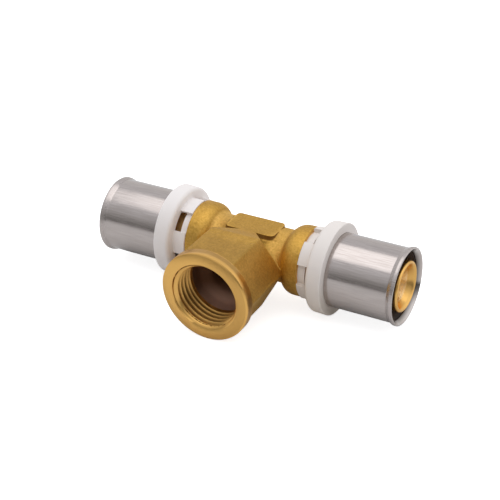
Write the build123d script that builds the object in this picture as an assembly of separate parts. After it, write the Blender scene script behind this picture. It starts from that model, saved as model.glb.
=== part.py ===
from build123d import *
import math
import os

# Press tee for multilayer pipe: two crimped pipe ends in line and a female threaded branch.
# Millimetres. The origin is where the axes cross: the run lies along X, the branch opens along -Y, +Z is up.

# Pipe that the fitting takes
pipe_outer_radius = 10.0
pipe_wall = 2.25

# Clearances
pipe_clearance = 0.10      # pipe to sleeve
insert_clearance = 0.05    # insert tail to pipe bore
clip_clearance = 0.05      # plastic ring to what it clips over or holds
seal_clearance = 0.02      # rubber ring to the floor of its groove

# Run of the brass body, from the middle outwards
neck_half_length = 11.95
neck_rounding = 0.8
shoulder_height = 2.55     # collar above neck
shoulder_angle = 50.0
shoulder_rounding = 4.0
collar_face = 18.9
collar_edge = 0.2
clip_groove_step = 0.8     # groove's floor above the tail
clip_groove_width = 1.3
clip_lip_step = 1.4        # lip above the tail
clip_lip_width = 1.0
clip_lip_edge = 0.2

# Insert tail
tail_wall = 1.95
tail_end = 49.3
seal_positions = (27.0, 33.0)
seal_groove_width = 2.1
seal_groove_depth = 1.25
barb_start = 38.4
barb_pitch = 1.7
barb_count = 5
barb_depth = 0.35
nose_rounding = 0.6
mouth_wall = 0.7           # left round the countersink at the tail's mouth
mouth_depth = 3.0

# Rubber sealing rings
seal_section_radius = 0.8

# Stainless press sleeve
sleeve_start = 23.9
sleeve_length = 25.5
sleeve_wall = 1.1
flare_length = 2.1
flare_lip = 0.9
flare_rise = 0.55
flare_rounding = 0.8
lip_rounding = 0.3
lead_in_length = 1.4       # cone inside the mouth
lead_in_rounding = 1.0
lip_wall = 0.45            # left at the mouth outside that cone
sleeve_edge = 0.15

# Plastic retaining ring
ring_length = 9.1
hub_step = 0.15            # hub under the sleeve's outside
hub_rise = 0.3             # hub above the collar
hub_wall = 0.75
hub_edge = 0.3
flange_start = 22.95
flange_step = 0.05         # flange under the branch's rim: the fitting lies flat on all three
flange_taper = 0.2
flange_rounding_share = 0.41   # of the flange's height, on the body's side
flange_outer_rounding = 0.35
window_depth = 1.25
window_count = 5
window_angle = 34.0
window_turn_left = 134.5
window_turn_right = 172.0

# Branch: forged hexagonal block with a turned rim
branch_face = 31.3
rim_width = 3.35
rim_radius = 14.1
rim_edge = 0.5
block_corner_angle = 55.3
block_corner_rounding = 0.8
block_slope_start = 12.1
block_slope_rounding = 8.0
block_slope_width = 2.2
block_side_start = 9.4

# Raised pads of the forging, above and below the crossing
pad_rise = 0.05            # pad above the neck
pad_half_length = 8.2
pad_half_width = 4.4
pad_corner = 1.4
pad_edge = 0.2

# Inside of the branch: parallel 1/2 inch pipe thread at its minor radius, then the drilled way to the run
thread_minor_radius = 9.316
thread_mouth_radius = 10.7
drill_depth = 12.0
drill_point_angle = 59.0
passage_step = 0.25        # way's radius under the run's bore

tail_radius = pipe_outer_radius - pipe_wall - insert_clearance
run_bore_radius = tail_radius - tail_wall
mouth_radius = tail_radius - mouth_wall
seal_floor_radius = tail_radius - seal_groove_depth
clip_groove_radius = tail_radius + clip_groove_step
clip_lip_radius = tail_radius + clip_lip_step
clip_groove_end = collar_face + clip_groove_width
clip_lip_end = clip_groove_end + clip_lip_width
sleeve_bore_radius = pipe_outer_radius + pipe_clearance
sleeve_radius = sleeve_bore_radius + sleeve_wall
sleeve_end = sleeve_start + sleeve_length
hub_radius = sleeve_radius - hub_step
web_radius = hub_radius - window_depth
flange_radius = rim_radius - flange_step
flange_shoulder_radius = flange_radius - flange_taper
flange_inner_rounding = flange_rounding_share * (flange_shoulder_radius - hub_radius)
ring_end = collar_face + ring_length
collar_radius = hub_radius - hub_rise
neck_radius = collar_radius - shoulder_height
pad_height = neck_radius + pad_rise
passage_radius = run_bore_radius - passage_step


def rounded_face(corners):
    """A flat face from its corners; each is (across, up, rounding)."""
    face = make_face(Polyline(*[(across, up) for across, up, _ in corners], close=True)).face()
    for across, up, rounding in corners:
        if rounding:
            corner = face.vertices().sort_by_distance((across, up))[0]
            face = face.fillet_2d(rounding, [corner])
    return face


def turned(corners):
    """A solid turned about the run's axis; each corner is (along the axis, radius, rounding)."""
    return revolve(rounded_face(corners), Axis.X)


def seal_groove(position):
    """Corners of one sealing groove, cut square into the tail."""
    near = position - seal_groove_width / 2
    far = position + seal_groove_width / 2
    return [
        (near, tail_radius, 0),
        (near, seal_floor_radius, 0),
        (far, seal_floor_radius, 0),
        (far, tail_radius, 0),
    ]


def barbs():
    """Corners of the saw teeth: square on the body's side, sloping to the mouth, so a pipe can't slip off."""
    corners = [(barb_start, tail_radius, 0)]
    for number in range(1, barb_count + 1):
        place = barb_start + number * barb_pitch
        corners += [(place, tail_radius - barb_depth, 0), (place, tail_radius, 0)]
    return corners


def run_outline():
    """Outer corners of the brass body from the neck to the tail's mouth."""
    shoulder_length = shoulder_height / math.tan(math.radians(shoulder_angle))
    corners = [
        (neck_half_length, neck_radius, neck_rounding),
        (neck_half_length + shoulder_length, collar_radius, shoulder_rounding),
        (collar_face, collar_radius, collar_edge),
        (collar_face, clip_groove_radius, 0),
        (clip_groove_end, clip_groove_radius, 0),
        (clip_groove_end, clip_lip_radius, 0),
        (clip_lip_end, clip_lip_radius, clip_lip_edge),
        (clip_lip_end, tail_radius, 0),
    ]
    for position in seal_positions:
        corners += seal_groove(position)
    return corners + barbs() + [(tail_end, tail_radius, nose_rounding)]


def brass_run():
    """The straight run, turned in one profile from mouth to mouth, still solid."""
    right = run_outline()
    left = [(-along, radius, rounding) for along, radius, rounding in reversed(right)]
    return turned([(-tail_end, 0, 0)] + left + right + [(tail_end, 0, 0)])


def branch_block():
    """Forged hexagonal block of the branch; on every side it slopes back down to the run."""
    flat = rim_radius * math.cos(math.radians(block_corner_angle))
    height = rim_radius * math.sin(math.radians(block_corner_angle))
    back = pad_half_width - pad_edge
    front = branch_face - rim_width
    half = [(rim_radius, 0), (flat, height), (-flat, height)]
    hexagon = half + [(-across, -up) for across, up in half]
    section = rounded_face([(across, up, block_corner_rounding) for across, up in hexagon])
    upper = [(-front, height, 0), (-block_slope_start, height, block_slope_rounding), (-back, pad_height, 0)]
    side_view = rounded_face(upper + [(along, -up, rounding) for along, up, rounding in reversed(upper)])
    block = extrude(Plane.XZ.offset(back) * section, amount=front - back)
    block &= extrude(Plane.YZ * side_view, amount=rim_radius, both=True)
    for across, up in ((1, 1), (-1, 1), (1, -1), (-1, -1)):
        block = split(block, bisect_by=flank(across, up, flat, height, back), keep=Keep.BOTTOM)
    return block


def flank(across, up, flat, height, back):
    """Sloping plane between the block's top and side, facing outwards."""
    top_front = Vector(across * flat, -block_slope_start, up * height)
    top_back = Vector(across * block_slope_width, -back, up * pad_height)
    side = Vector(across * rim_radius, -block_side_start, 0)
    normal = (top_back - top_front).cross(side - top_front)
    return Plane(origin=side, z_dir=normal * math.copysign(1, across * normal.X))


def branch_rim():
    """Turned collar round the branch's mouth."""
    rim = extrude(Plane.XZ.offset(branch_face - rim_width) * Circle(rim_radius), amount=rim_width)
    return chamfer(rim.faces().sort_by(Axis.Y)[0].edges(), rim_edge)


def pads():
    """Raised pads above and below the crossing, from one block through the middle."""
    outline = RectangleRounded(2 * pad_half_length, 2 * pad_half_width, pad_corner)
    block = extrude(outline, amount=pad_height, both=True)
    ends = block.faces().sort_by(Axis.Z)
    return fillet(ends[0].edges() + ends[-1].edges(), pad_edge)


def branch_way():
    """What is cut from the branch: chamfered mouth, threaded bore, drill point and the way to the run."""
    chamfer_end = branch_face - (thread_mouth_radius - thread_minor_radius)
    bore_end = branch_face - drill_depth
    point_end = bore_end - (thread_minor_radius - passage_radius) / math.tan(math.radians(drill_point_angle))
    corners = [
        (0, -branch_face),
        (thread_mouth_radius, -branch_face),
        (thread_minor_radius, -chamfer_end),
        (thread_minor_radius, -bore_end),
        (passage_radius, -point_end),
        (passage_radius, 0),
        (0, 0),
    ]
    return revolve(make_face(Polyline(*corners, close=True)), Axis.Y)


def run_way():
    """What is cut from the run: the water way, countersunk at both mouths."""
    right = [(tail_end - mouth_depth, run_bore_radius, 0), (tail_end, mouth_radius, 0)]
    left = [(-along, radius, rounding) for along, radius, rounding in reversed(right)]
    return turned([(-tail_end, 0, 0)] + left + right + [(tail_end, 0, 0)])


def tee_body():
    """The whole brass body: forged outside, drilled and turned inside."""
    outside = brass_run() + branch_block() + branch_rim() + pads()
    return outside - run_way() - branch_way()


def press_sleeve():
    """Stainless sleeve, belled at its mouth and coned inside so that the pipe finds its way in."""
    flare_start = sleeve_end - flare_length
    lip_start = sleeve_end - flare_lip
    lead_in_start = sleeve_end - lead_in_length
    wide = sleeve_radius + flare_rise
    return turned([
        (sleeve_start, sleeve_bore_radius, sleeve_edge),
        (sleeve_start, sleeve_radius, sleeve_edge),
        (flare_start, sleeve_radius, flare_rounding),
        (lip_start, wide, flare_rounding),
        (sleeve_end, wide, lip_rounding),
        (sleeve_end, wide - lip_wall, 0),
        (lead_in_start, sleeve_bore_radius, lead_in_rounding),
    ])


def retaining_ring(window_turn):
    """White plastic ring: its web clips over the body's lip, its skirt holds the sleeve, its hub has windows."""
    groove_fit = clip_groove_radius + clip_clearance
    lip_fit = clip_lip_radius + clip_clearance
    skirt_inner_radius = sleeve_radius + clip_clearance
    ring = turned([
        (collar_face, groove_fit, 0),
        (collar_face, hub_radius, hub_edge),
        (flange_start, hub_radius, hub_edge),
        (flange_start, flange_shoulder_radius, flange_inner_rounding),
        (ring_end, flange_radius, flange_outer_rounding),
        (ring_end, skirt_inner_radius, 0),
        (sleeve_start, skirt_inner_radius, 0),
        (sleeve_start, hub_radius - hub_wall, 0),
        (clip_lip_end, hub_radius - hub_wall, 0),
        (clip_lip_end, lip_fit, 0),
        (clip_groove_end - clip_clearance, lip_fit, 0),
        (clip_groove_end - clip_clearance, groove_fit, 0),
    ])
    window = revolve(window_section(), Axis.X, window_angle)
    for number in range(window_count):
        ring -= Rot(window_turn + number * 360 / window_count - window_angle / 2, 0, 0) * window
    return ring


def window_section():
    """Section of one window: open from the collar to the flange, down to the ring's web."""
    corners = [
        (collar_face - hub_edge, web_radius),
        (collar_face - hub_edge, flange_radius),
        (flange_start, flange_radius),
        (flange_start, web_radius),
    ]
    return make_face(Polyline(*corners, close=True))


def sealing_ring(position):
    """Round rubber ring lying on the floor of its groove."""
    middle_radius = seal_floor_radius + seal_clearance + seal_section_radius
    return Pos(position, 0, 0) * Rot(0, 90, 0) * Torus(middle_radius, seal_section_radius)


pieces = {
    "tee_body": tee_body(),
    "press_sleeve_right": press_sleeve(),
    "press_sleeve_left": mirror(press_sleeve(), Plane.YZ),
    "retaining_ring_right": retaining_ring(window_turn_right),
    "retaining_ring_left": mirror(retaining_ring(window_turn_left), Plane.YZ),
}
for place, position in zip(("inner", "outer"), seal_positions):
    pieces["o_ring_right_" + place] = sealing_ring(position)
    pieces["o_ring_left_" + place] = sealing_ring(-position)

os.makedirs("parts", exist_ok=True)
for name, piece in pieces.items():
    export_step(piece, "parts/" + name + ".step")
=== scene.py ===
import math

import bmesh
import bpy
from mathutils import Matrix, Vector


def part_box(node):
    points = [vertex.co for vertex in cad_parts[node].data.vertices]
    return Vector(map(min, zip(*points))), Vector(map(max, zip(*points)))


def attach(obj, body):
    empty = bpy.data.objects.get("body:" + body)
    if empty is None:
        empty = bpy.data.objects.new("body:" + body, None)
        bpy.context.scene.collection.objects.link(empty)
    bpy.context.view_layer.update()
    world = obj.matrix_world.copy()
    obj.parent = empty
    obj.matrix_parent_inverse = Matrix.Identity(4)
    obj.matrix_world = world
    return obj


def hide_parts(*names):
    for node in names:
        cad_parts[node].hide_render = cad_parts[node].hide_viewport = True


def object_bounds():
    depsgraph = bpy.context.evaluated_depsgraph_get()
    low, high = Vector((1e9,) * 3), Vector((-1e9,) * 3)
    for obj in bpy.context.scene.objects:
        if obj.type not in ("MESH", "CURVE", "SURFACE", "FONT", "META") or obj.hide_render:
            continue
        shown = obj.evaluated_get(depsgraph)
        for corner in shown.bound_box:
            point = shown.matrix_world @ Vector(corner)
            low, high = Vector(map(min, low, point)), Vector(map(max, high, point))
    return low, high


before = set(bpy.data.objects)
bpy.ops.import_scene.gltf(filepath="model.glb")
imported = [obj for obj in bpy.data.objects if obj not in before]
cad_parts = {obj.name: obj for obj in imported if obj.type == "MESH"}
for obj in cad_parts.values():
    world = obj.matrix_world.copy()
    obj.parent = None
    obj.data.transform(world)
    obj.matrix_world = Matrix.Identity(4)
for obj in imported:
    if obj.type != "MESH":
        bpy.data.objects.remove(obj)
cad_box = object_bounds()


# Brass body
# One hot forging of brass, shot-blasted outside. The rim, the ends of the collars, the insert tails and the
# bores are turned afterwards, and the branch is tapped with a parallel 1/2 inch pipe thread.
MM = 0.001
branch_face = -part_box("tee_body")[0].y
weld_distance = 0.001 * MM
crease_angle = 32

# The thread, and the tap that cuts it: a tooth rises from its foot to its tip over a part of half a pitch
thread_pitch = 1.814 * MM
thread_minor_radius = 9.316 * MM
thread_depth = 1.162 * MM
thread_start = 0.60  # of a turn
tap_length = 9.0 * MM
tap_lead = 0.7 * MM  # in front of the branch's face
tap_runout = 1.2 * MM
tap_slack = 0.05 * MM
tap_facets = 240
tap_steps = 150
tooth_foot, tooth_tip = -0.1, 0.85
spare_turns = 8.0  # keep the count of turns above zero

# Where the brass looks different, in millimetres: where a change starts and where it is complete. Depths lie
# behind the branch's face.
rim_face_depth = (0.06, 0.02)
rim_edge_depth = (0.60, 0.45)
rim_side_depth = (3.4, 3.3)
rim_side_radius = (13.4, 13.7)
branch_bore_depth = (19.3, 18.3)
branch_bore_radius = (10.85, 10.75)
run_bore_radius = (6.05, 5.95)
collar_end = (18.82, 18.88)
thread_shade_depth = (1.6, 3.4)
thread_valley_radius = (9.45, 10.1)
deep_bore_start = (9.0, 9.6)
deep_bore_top, deep_bore_bottom = -3.0, -9.3
pad_half_length, pad_half_width, pad_corner = 6.8, 3.0, 1.4
pad_wall_start, pad_wall_end = (-0.15, -0.05), (0.45, 0.05)
pad_foot_height = (8.20, 8.12)
pad_back = (2.0, 4.0)
shoulder_start, shoulder_end = (12.3, 13.2), (15.2, 14.2)
shoulder_radius = (10.0, 8.6)
neck_start, neck_end = (7.0, 8.5), (13.6, 12.4)
neck_radius = (9.2, 8.6)
window_start, window_end = (19.2, 19.5), (26.0, 25.5)
right_half = (-5.0, 5.0)
rim_right = (-4.0, 10.0)
block_right, block_front, block_upper = (7.5, 9.5), (19.3, 9.3), (-3.0, 1.0)

# Its colours, its relief and its turning marks: their radians per millimetre, and how far they tilt the surface
brass_glint = (0.96, 0.91, 0.82, 1)
forged_dark, forged_light = (0.46, 0.255, 0.047, 1), (0.65, 0.388, 0.090, 1)
# The second pair of colours is painted light, for the necks and the right side of the block.
painted_lit_dark, painted_lit_light = (0.59, 0.375, 0.100, 1), (0.84, 0.545, 0.170, 1)
turned_dark, turned_light = (0.76, 0.43, 0.118, 1), (0.82, 0.485, 0.145, 1)
# Painted light: brighter brass for the ring windows and down the run bore.
window_painted_lit_brass, bore_painted_lit_brass = (1.0, 0.66, 0.27, 1), (0.94, 0.70, 0.37, 1)
# Painted shade: a dark brown for the corners, the thread and the right of the rim face.
painted_shade_colour = (0.20, 0.095, 0.024, 1)
# Painted shade deep in the branch bore, darker at the top than at the bottom.
deep_bore_shade_top, deep_bore_shade_bottom = (0.20, 0.098, 0.052, 1), (0.58, 0.375, 0.285, 1)
blasted_relief = 0.16 * MM
face_mark_rate, face_mark_tilt = 47.0, 0.16
feed_mark_rate, feed_mark_tilt = 61.0, 0.22


class Value:
    """A number that varies over a surface or a shape: a node's output that takes part in Python sums."""

    def __init__(self, nodes, socket):
        self.nodes = nodes
        self.socket = socket

    def __add__(self, other):
        return self.nodes.sum("ADD", self, other)

    __radd__ = __add__

    def __sub__(self, other):
        return self.nodes.sum("SUBTRACT", self, other)

    def __rsub__(self, other):
        return self.nodes.sum("SUBTRACT", other, self)

    def __mul__(self, other):
        return self.nodes.sum("MULTIPLY", self, other)

    __rmul__ = __mul__

    def __truediv__(self, other):
        return self.nodes.sum("DIVIDE", self, other)

    def __rtruediv__(self, other):
        return self.nodes.sum("DIVIDE", other, self)

    def __abs__(self):
        return self.nodes.sum("ABSOLUTE", self)


class Nodes:
    """A node tree: one method adds a node, and the others write out common sums with it."""

    def __init__(self, tree):
        self.tree = tree

    def add(self, kind, settings=None, inputs=None):
        """Adds a node: its settings first, then the values or links of its sockets, by name or number."""
        node = self.tree.nodes.new(kind)
        for name, setting in (settings or {}).items():
            setattr(node, name, setting)
        for name, given in (inputs or {}).items():
            self.feed(node, name, given)
        return node

    def feed(self, node, name, given):
        """Links a value to a node's socket, or sets the socket to something that is the same everywhere."""
        if isinstance(given, Value):
            self.tree.links.new(given.socket, node.inputs[name])
        else:
            node.inputs[name].default_value = given

    def out(self, kind, settings=None, inputs=None, socket=0):
        """Adds a node and gives one of its outputs."""
        return Value(self, self.add(kind, settings, inputs).outputs[socket])

    def sum(self, operation, *terms):
        return self.out("ShaderNodeMath", {"operation": operation}, dict(enumerate(terms)))

    def step(self, value, start, end):
        """0 at start and 1 at end, whichever is larger, with a soft change between them."""
        settings = {"interpolation_type": "SMOOTHSTEP"}
        return self.out("ShaderNodeMapRange", settings, {"Value": value, "From Min": start, "From Max": end})

    def either(self, first, second):
        return self.sum("MAXIMUM", first, second)

    def reach(self, first, second):
        """The length of a vector with these two parts."""
        return self.sum("SQRT", first * first + second * second)

    def split(self, vector):
        """The x, y and z of a vector."""
        node = self.add("ShaderNodeSeparateXYZ", None, {0: vector})
        return [Value(self, node.outputs[axis]) for axis in "XYZ"]

    def join(self, x, y, z):
        return self.out("ShaderNodeCombineXYZ", None, {0: x, 1: y, 2: z})

    def mixed(self, factor, first, second):
        """A colour between two others."""
        return self.out("ShaderNodeMix", {"data_type": "RGBA"}, {0: factor, 6: first, 7: second}, 2)

    def mottle(self, place, scale, detail=4.0, roughness=0.55):
        """Soft random patches, about 1 / scale millimetres wide."""
        return self.out("ShaderNodeTexNoise", None, {
            "Vector": place, "Scale": scale, "Detail": detail, "Roughness": roughness})


def finish_of(name, metallic, **constants):
    """A new material: its nodes, its Principled shader, and the place on the piece in millimetres."""
    material = bpy.data.materials.new(name)
    material.use_nodes = True
    nodes = Nodes(material.node_tree)
    shader = material.node_tree.nodes["Principled BSDF"]
    nodes.feed(shader, "Metallic", metallic)
    for socket, constant in constants.items():
        nodes.feed(shader, socket.replace("_", " "), constant)
    place = nodes.out("ShaderNodeTexCoord", None, None, "Object")
    place = nodes.out("ShaderNodeVectorMath", {"operation": "SCALE"}, {0: place, "Scale": 1 / MM})
    return material, nodes, shader, place


def brass_zones(nodes, x, y, z, from_branch_axis):
    """Where the body is turned or threaded, and where light or shade is painted on it, each as a value from 0
    to 1.
    """
    from_run_axis = nodes.reach(y, z)
    depth = y + branch_face / MM
    zone = {"rim face": nodes.step(depth, *rim_face_depth)}

    rim_edge = nodes.step(depth, *rim_edge_depth)
    rim_side = nodes.step(from_branch_axis, *rim_side_radius) * nodes.step(depth, *rim_side_depth)
    branch_bore = nodes.step(depth, *branch_bore_depth) * nodes.step(from_branch_axis, *branch_bore_radius)
    zone["run bore"] = nodes.step(from_run_axis, *run_bore_radius)
    bores = nodes.either(branch_bore, zone["run bore"])
    zone["turned"] = nodes.either(
        nodes.either(rim_edge, rim_side), nodes.either(bores, nodes.step(abs(x), *collar_end)))

    zone["thread"] = branch_bore * nodes.step(depth, *thread_shade_depth)
    zone["valleys"] = zone["thread"] * nodes.step(from_branch_axis, *thread_valley_radius)
    # Deep in the branch bore, where shade is painted.
    zone["dull bore"] = branch_bore * nodes.step(depth, *deep_bore_start)
    zone["windows"] = nodes.step(abs(x), *window_start) * nodes.step(abs(x), *window_end)

    # Painted shade at the foot of the pad's wall, less of it behind the pad, and at the foot of each shoulder.
    past_length = nodes.either(abs(x) - pad_half_length, 0.0)
    past_width = nodes.either(abs(y) - pad_half_width, 0.0)
    off_pad = nodes.reach(past_length, past_width) - pad_corner
    pad_wall = nodes.step(off_pad, *pad_wall_start) * nodes.step(off_pad, *pad_wall_end)
    less_shade_behind = 1.0 - nodes.step(y, *pad_back) * 0.6
    zone["pad foot"] = pad_wall * nodes.step(abs(z), *pad_foot_height) * less_shade_behind
    shoulder = nodes.step(abs(x), *shoulder_start) * nodes.step(abs(x), *shoulder_end)
    zone["shoulder foot"] = shoulder * nodes.step(from_run_axis, *shoulder_radius)

    # The necks and the right side of the block, where light is painted.
    along_neck = nodes.step(abs(x), *neck_start) * nodes.step(abs(x), *neck_end)
    zone["neck"] = along_neck * nodes.step(from_run_axis, *neck_radius)
    zone["block side"] = (
        nodes.step(x, *block_right) * nodes.step(depth, *block_front) * nodes.step(z, *block_upper))
    return zone


def brass_finish():
    """Blasted forging, brighter and smoother where it was turned, with painted light and painted shade in
    places.
    """
    material, nodes, shader, place = finish_of("forged_brass", 1.0, Specular_Tint=brass_glint)
    x, y, z = nodes.split(place)
    from_branch_axis = nodes.reach(x, z)
    zone = brass_zones(nodes, x, y, z, from_branch_axis)
    turned, thread, pad_foot, neck = zone["turned"], zone["thread"], zone["pad foot"], zone["neck"]

    patches = nodes.mottle(place, 0.22, 5.0, 0.6)
    specks = nodes.mottle(place, 1.6, 4.0, 0.65)
    skin = nodes.step(patches * 0.3 + specks * 0.7, 0.30, 0.70)
    # Painted light: a lighter colour on the necks, less of it on the right one, and on the right side of the
    # block.
    painted_lit_amount = neck * (0.8 - nodes.step(x, *right_half) * 0.3) + zone["block side"] * 0.6
    forged = nodes.mixed(skin, forged_dark, forged_light)
    painted_lit = nodes.mixed(skin, painted_lit_dark, painted_lit_light)
    bright = nodes.mixed(specks, turned_dark, turned_light)
    plain = nodes.mixed(turned, nodes.mixed(painted_lit_amount, forged, painted_lit), bright)
    # Painted light: brighter brass in the ring windows and down the run bore.
    painted_lit_recess = nodes.mixed(zone["run bore"], window_painted_lit_brass, bore_painted_lit_brass)
    unshaded = nodes.mixed(nodes.either(zone["windows"], zone["run bore"]), plain, painted_lit_recess)
    # Painted shade: in the corners, down the thread's valleys and over the right of the rim face.
    corner_shade_amount = nodes.either(pad_foot * 0.75, zone["shoulder foot"] * 0.6)
    thread_shade_amount = zone["valleys"] * 0.45 + thread * 0.12
    rim_right_shade_amount = zone["rim face"] * nodes.step(x, *rim_right) * 0.25
    painted_shade_amount = nodes.either(nodes.either(corner_shade_amount, thread_shade_amount), rim_right_shade_amount)
    # Painted shade deep in the branch bore, darker at its top than at its bottom.
    deep_bore_shade = nodes.mixed(nodes.step(z, deep_bore_top, deep_bore_bottom), deep_bore_shade_top, deep_bore_shade_bottom)
    colour = nodes.mixed(zone["dull bore"], nodes.mixed(painted_shade_amount, unshaded, painted_shade_colour), deep_bore_shade)
    nodes.feed(shader, "Base Color", colour)

    rough_corners = nodes.either(pad_foot, zone["shoulder foot"] * 0.5) * 0.30
    forged_roughness = 0.45 + patches * 0.10 + nodes.either(rough_corners, neck * 0.15)
    bore_roughness = thread * 0.10 + zone["dull bore"] * 0.35 - zone["run bore"] * 0.08
    turned_roughness = 0.30 + zone["windows"] * 0.50 + bore_roughness
    nodes.feed(shader, "Roughness", forged_roughness * (1.0 - turned) + turned_roughness * turned)

    dents = nodes.mottle(place, 0.55, 3.0, 0.5)
    grit = nodes.mottle(place, 5.0, 2.0, 0.5)
    height = (dents * 1.3 + specks * 0.7 + grit * 0.3) * (1.0 - turned)
    blasted = nodes.out("ShaderNodeBump", None, {
        "Strength": 0.8, "Distance": blasted_relief, "Height": height})
    face_waves = nodes.sum("SINE", from_branch_axis * face_mark_rate)
    face_marks = face_waves * face_mark_tilt * zone["rim face"] / from_branch_axis
    feed_marks = nodes.sum("SINE", x * feed_mark_rate) * feed_mark_tilt * zone["run bore"]
    marks = nodes.join(face_marks * x + feed_marks, 0.0, face_marks * z)
    tilted = nodes.out("ShaderNodeVectorMath", {"operation": "ADD"}, {0: blasted, 1: marks})
    nodes.feed(shader, "Normal", nodes.out("ShaderNodeVectorMath", {"operation": "NORMALIZE"}, {0: tilted}))
    return material


def shape_tree(name, sizes):
    """An empty Geometry Nodes tree with named inputs for its sizes."""
    tree = bpy.data.node_groups.new(name, "GeometryNodeTree")
    tree.interface.new_socket("Geometry", in_out="INPUT", socket_type="NodeSocketGeometry")
    for size in sizes:
        tree.interface.new_socket(size, in_out="INPUT", socket_type="NodeSocketFloat")
    tree.interface.new_socket("Geometry", in_out="OUTPUT", socket_type="NodeSocketGeometry")
    nodes = Nodes(tree)
    given = nodes.add("NodeGroupInput")
    return nodes, {size: Value(nodes, given.outputs[size]) for size in sizes}


def shaped(name, tree, sizes):
    """The plain mesh that a Geometry Nodes tree makes from the given sizes."""
    maker = bpy.data.objects.new(name, bpy.data.meshes.new(name))
    bpy.context.scene.collection.objects.link(maker)
    modifier = maker.modifiers.new(name, "NODES")
    modifier.node_group = tree
    for item in tree.interface.items_tree:
        if item.in_out == "INPUT" and item.name in sizes:
            modifier[item.identifier] = sizes[item.name]
    bpy.context.view_layer.update()
    maker_now = maker.evaluated_get(bpy.context.evaluated_depsgraph_get())
    mesh = bpy.data.meshes.new_from_object(maker_now)
    bpy.data.objects.remove(maker)
    return mesh


def thread_tap(material):
    """Geometry Nodes tree of the tap: a bar whose radius rises and falls along a right-hand helix."""
    nodes, size = shape_tree("thread_tap", ["Pitch", "Minor Radius", "Depth", "Length", "Lead", "Runout"])
    bar = nodes.out("GeometryNodeMeshCylinder", {"fill_type": "TRIANGLE_FAN"}, {
        "Vertices": tap_facets, "Side Segments": tap_steps,
        "Radius": size["Minor Radius"], "Depth": size["Length"]})
    x, y, z = nodes.split(nodes.out("GeometryNodeInputPosition"))
    turn = nodes.sum("ARCTAN2", y, x) / math.tau
    phase = nodes.sum("FRACT", z / size["Pitch"] - turn + spare_turns + thread_start)
    tooth = nodes.step(abs(phase * 2.0 - 1.0), tooth_foot, tooth_tip)
    from_end = z + size["Length"] * 0.5
    deep = nodes.step(from_end, 0.0, size["Runout"])
    swell = (size["Depth"] * tooth + tap_slack) * deep - tap_slack
    growth = swell / size["Minor Radius"] + 1.0
    toothed = nodes.out("GeometryNodeSetPosition", None, {
        "Geometry": bar, "Position": nodes.join(x * growth, y * growth, z)})
    middle = size["Length"] * 0.5 - size["Lead"] - branch_face
    laid = nodes.out("GeometryNodeTransform", None, {
        "Geometry": toothed, "Rotation": (math.pi / 2, 0.0, 0.0),
        "Translation": nodes.join(0.0, middle, 0.0)})
    whole = nodes.out("GeometryNodeRealizeInstances", None, {"Geometry": laid})
    finished = nodes.out("GeometryNodeSetMaterial", None, {"Geometry": whole, "Material": material})
    nodes.add("NodeGroupOutput", None, {0: finished})
    return nodes.tree


def merged_copy(node, name):
    """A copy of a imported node's mesh with its loose triangles joined along their edges."""
    piece = bpy.data.objects.new(name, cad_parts[node].data.copy())
    bpy.context.scene.collection.objects.link(piece)
    shell = bmesh.new()
    shell.from_mesh(piece.data)
    bmesh.ops.remove_doubles(shell, verts=shell.verts, dist=weld_distance)
    shell.to_mesh(piece.data)
    shell.free()
    return piece


def settle(piece):
    """Turns a piece's modifiers into plain mesh."""
    bpy.context.view_layer.update()
    piece_now = piece.evaluated_get(bpy.context.evaluated_depsgraph_get())
    mesh = bpy.data.meshes.new_from_object(piece_now)
    piece.modifiers.clear()
    piece.data = mesh


def smooth_between_edges(piece, angle):
    """Shades smoothly, but keeps every edge sharper than the angle in degrees."""
    piece.data.shade_smooth()
    piece.data.set_sharp_from_angle(angle=math.radians(angle))


brass = brass_finish()
tap = bpy.data.objects.new("tap", shaped("tap", thread_tap(brass), {
    "Pitch": thread_pitch, "Minor Radius": thread_minor_radius, "Depth": thread_depth,
    "Length": tap_length, "Lead": tap_lead, "Runout": tap_runout}))
bpy.context.scene.collection.objects.link(tap)
brass_body = merged_copy("tee_body", "brass_body")
tapping = brass_body.modifiers.new("tapping", "BOOLEAN")
tapping.operation = "DIFFERENCE"
tapping.solver = "EXACT"
tapping.object = tap
settle(brass_body)
bpy.data.objects.remove(tap)
smooth_between_edges(brass_body, crease_angle)
brass_body.data.materials.clear()
brass_body.data.materials.append(brass)
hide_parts("tee_body")
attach(brass_body, "root")


# O-rings
# Two seals of black rubber on each insert tail, one nearer the body and one nearer the mouth. Each is moulded
# as a ring and rolled into its turned groove by hand.
rubber_dark, rubber_bloomed = (0.014, 0.014, 0.014, 1), (0.032, 0.031, 0.030, 1)


def rubber_finish():
    """Dull black moulded rubber."""
    material, nodes, shader, place = finish_of("seal_rubber", 0.0)
    bloom = nodes.mottle(place, 1.2)
    nodes.feed(shader, "Base Color", nodes.mixed(bloom, rubber_dark, rubber_bloomed))
    nodes.feed(shader, "Roughness", 0.42 + bloom * 0.14)
    return material


def dress(node, material):
    """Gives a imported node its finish."""
    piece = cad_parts[node]
    piece.data.materials.clear()
    piece.data.materials.append(material)


seal_rubber = rubber_finish()
for side in ("left", "right"):
    for seat in ("inner", "outer"):
        dress(f"o_ring_{side}_{seat}", seal_rubber)


# Retaining rings
# White moulded plastic. Each clips into the groove behind the collar and holds its sleeve; the windows show
# whether the pipe is pushed home. The right one is warmer in colour, and warmer still towards its underside,
# where the warmth is a painted reflection of the brass.
plastic_cool, plastic_pale = (0.79, 0.73, 0.70, 1), (0.85, 0.805, 0.785, 1)
# A warmer colour for the right ring; lower down it is a painted reflection of the brass.
plastic_warm = (0.64, 0.54, 0.43, 1)
warm_reflection_height = (9.0, -10.0)
moulding_relief = 0.02 * MM


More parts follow.
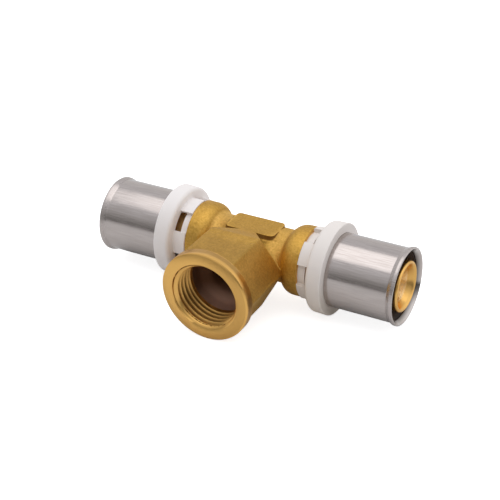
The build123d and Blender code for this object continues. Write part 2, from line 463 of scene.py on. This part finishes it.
def plastic_finish():
    """Satin moulded plastic with a very fine grain."""
    material, nodes, shader, place = finish_of("white_plastic", 0.0)
    cloud = nodes.mottle(place, 0.15, 3.0)
    grain = nodes.mottle(place, 6.0, 2.0)
    x, y, z = nodes.split(place)
    # The right ring is warmer, and warmer still lower down, where the warmth is a painted reflection of the
    # brass.
    lower_reflection = nodes.step(z, *warm_reflection_height) * 0.45
    warmed = nodes.step(x, *right_half) * (lower_reflection + 0.15 + cloud * 0.15)
    moulded = nodes.mixed(cloud, plastic_cool, plastic_pale)
    nodes.feed(shader, "Base Color", nodes.mixed(warmed, moulded, plastic_warm))
    nodes.feed(shader, "Roughness", 0.38 + cloud * 0.10)
    bump = nodes.out("ShaderNodeBump", None, {"Strength": 0.25, "Distance": moulding_relief, "Height": grain})
    nodes.feed(shader, "Normal", bump)
    return material


white_plastic = plastic_finish()
for side in ("left", "right"):
    dress(f"retaining_ring_{side}", white_plastic)


# Press sleeves
# Drawn stainless tube, cut to length and belled at the mouth, with a cone inside that leads the pipe in. The
# retaining ring holds its other end, and the press jaws squeeze it onto the pipe.
sleeve_mouth = (47.4, 48.0)
cone_start, cone_slope = 48.0, 0.857
cone_shade = (47.9, 49.3)
tube_wall_radius = (10.40, 10.25)
draw_stretch = (0.05, 1.0, 1.0)
draw_relief = 0.01 * MM
steel_dark, steel_light = (0.44, 0.39, 0.365, 1), (0.52, 0.465, 0.44, 1)
# The darker cone colour is painted shade deep in the mouth.
cone_painted_shade, cone_light = (0.17, 0.150, 0.135, 1), (0.56, 0.505, 0.47, 1)


def steel_finish():
    """Satin steel with faint draw lines along the tube, duller inside the tube than in its mouth."""
    material, nodes, shader, place = finish_of("stainless_sleeve", 1.0)
    stretched = nodes.out("ShaderNodeVectorMath", {"operation": "MULTIPLY"}, {0: place, 1: draw_stretch})
    lines = nodes.mottle(stretched, 3.0, 4.0, 0.6)
    cloud = nodes.mottle(place, 0.12, 3.0)
    streaks = nodes.step(lines, 0.30, 0.70)
    x, y, z = nodes.split(place)
    widening = nodes.either(abs(x) - cone_start, 0.0) * cone_slope
    inside = nodes.step(nodes.reach(y, z) - widening, *tube_wall_radius)
    mouth = nodes.step(abs(x), *sleeve_mouth)
    drawn = nodes.mixed(streaks, steel_dark, steel_light)
    # Painted shade: the cone in the mouth is darker towards the tube.
    shaded_cone = nodes.mixed(nodes.step(abs(x), *cone_shade), cone_painted_shade, cone_light)
    nodes.feed(shader, "Base Color", nodes.mixed(inside * mouth, drawn, shaded_cone))
    at_bell = mouth * (1.0 - inside)
    inner_skin = inside * (0.30 - mouth * 0.34)
    nodes.feed(shader, "Roughness", 0.13 + streaks * 0.06 + cloud * 0.08 + at_bell * 0.10 + inner_skin)
    bump = nodes.out("ShaderNodeBump", None, {"Strength": 0.20, "Distance": draw_relief, "Height": lines})
    nodes.feed(shader, "Normal", bump)
    return material


stainless = steel_finish()
for side in ("left", "right"):
    dress(f"press_sleeve_{side}", stainless)


# Studio
# A pale table, one large soft light overhead and a grey room that is darker in front, seen from where the
# photograph was taken.
table_reach = 3.0
table_dark, table_light = (0.78, 0.78, 0.78, 1), (0.80, 0.80, 0.80, 1)
table_glow, table_glow_strength = (1, 1, 1, 1), 0.75
room_front, room_right, room_rise = (0.15, -0.55), (0.1, 0.8), (0.0, 0.8)
camera_azimuth, camera_elevation, camera_roll = 29.5678, 30.7549, -1.59653
camera_distance, camera_left, camera_drop = 395.254 * MM, 1.85404 * MM, 0.65242 * MM
lens_length = 93.938
sensor_width = 36.0
nearest_seen = 0.01


def white_table():
    """A wide flat table top at the height that the fitting lies on."""
    top = bpy.data.meshes.new("table")
    level = cad_box[0].z
    corners = [(-1, -1), (1, -1), (1, 1), (-1, 1)]
    top.from_pydata([(x * table_reach, y * table_reach, level) for x, y in corners], [], [(0, 1, 2, 3)])
    table = bpy.data.objects.new("table", top)
    bpy.context.scene.collection.objects.link(table)
    material, nodes, shader, place = finish_of("table", 0.0, Roughness=0.9)
    cloud = nodes.mottle(place, 0.01, 2.0)
    nodes.feed(shader, "Base Color", nodes.mixed(cloud, table_dark, table_light))
    matt = Value(nodes, shader.outputs[0])
    glow = nodes.out("ShaderNodeEmission", None, {"Color": table_glow, "Strength": table_glow_strength})
    paper = nodes.out("ShaderNodeAddShader", None, {0: matt, 1: glow})
    seen = nodes.out("ShaderNodeLightPath", None, None, "Is Camera Ray")
    shown = nodes.out("ShaderNodeMixShader", None, {0: seen, 1: matt, 2: paper})
    nodes.feed(material.node_tree.nodes["Material Output"], "Surface", shown)
    top.materials.append(material)


def room():
    """The light of the room: bright behind the table, darker in front of it, and darkest low at the right."""
    world = bpy.data.worlds.new("room")
    bpy.context.scene.world = world
    world.use_nodes = True
    nodes = Nodes(world.node_tree)
    x, y, z = nodes.split(nodes.out("ShaderNodeTexCoord", None, None, "Generated"))
    front = nodes.step(y, *room_front)
    right = nodes.step(x, *room_right)
    rise = nodes.step(z, *room_rise)
    behind = 0.82 + right * 0.38
    ahead = 0.22 + rise * 0.6
    dark_corner = right * front * 0.75 * (1.0 - rise)
    level = ((1.0 - front) * behind + front * ahead) * (1.0 - dark_corner)
    grey = nodes.join(level * (1.0 - rise * 0.03), level, level * (rise * 0.05 + 1.0))
    nodes.feed(world.node_tree.nodes["Background"], "Color", grey)


def softbox(name, centre, aim, width, height, watts):
    """A rectangular lamp that faces a point."""
    lamp = bpy.data.lights.new(name, "AREA")
    lamp.shape = "RECTANGLE"
    lamp.size = width
    lamp.size_y = height
    lamp.energy = watts
    holder = bpy.data.objects.new(name, lamp)
    facing = (Vector(aim) - Vector(centre)).to_track_quat("-Z", "Y")
    holder.matrix_world = Matrix.Translation(centre) @ facing.to_matrix().to_4x4()
    bpy.context.scene.collection.objects.link(holder)


def photograph_camera():
    """A long lens above and to the right of the branch, turned a little about its own axis."""
    azimuth, elevation, roll = map(math.radians, (camera_azimuth, camera_elevation, camera_roll))
    ahead = math.cos(elevation)
    back = Vector((math.sin(azimuth) * ahead, -math.cos(azimuth) * ahead, math.sin(elevation)))
    level_right = (-back).cross(Vector((0, 0, 1))).normalized()
    level_up = level_right.cross(-back)
    right = level_right * math.cos(roll) + level_up * math.sin(roll)
    up = level_up * math.cos(roll) - level_right * math.sin(roll)
    stand = back * camera_distance - right * camera_left - up * camera_drop
    lens = bpy.data.cameras.new("camera")
    lens.lens = lens_length
    lens.sensor_width = sensor_width
    lens.clip_start = nearest_seen
    camera = bpy.data.objects.new("camera", lens)
    turn = Matrix((right, up, back)).transposed().to_4x4()
    camera.matrix_world = Matrix.Translation(stand) @ turn
    bpy.context.scene.collection.objects.link(camera)
    bpy.context.scene.camera = camera


white_table()
room()
softbox("overhead", centre=(-0.06, -0.02, 0.6), aim=(-0.06, -0.02, 0.0), width=0.7, height=0.61, watts=1.4)
photograph_camera()
bpy.context.scene.view_settings.view_transform = "Standard"
bpy.context.scene.cycles.use_denoising = True
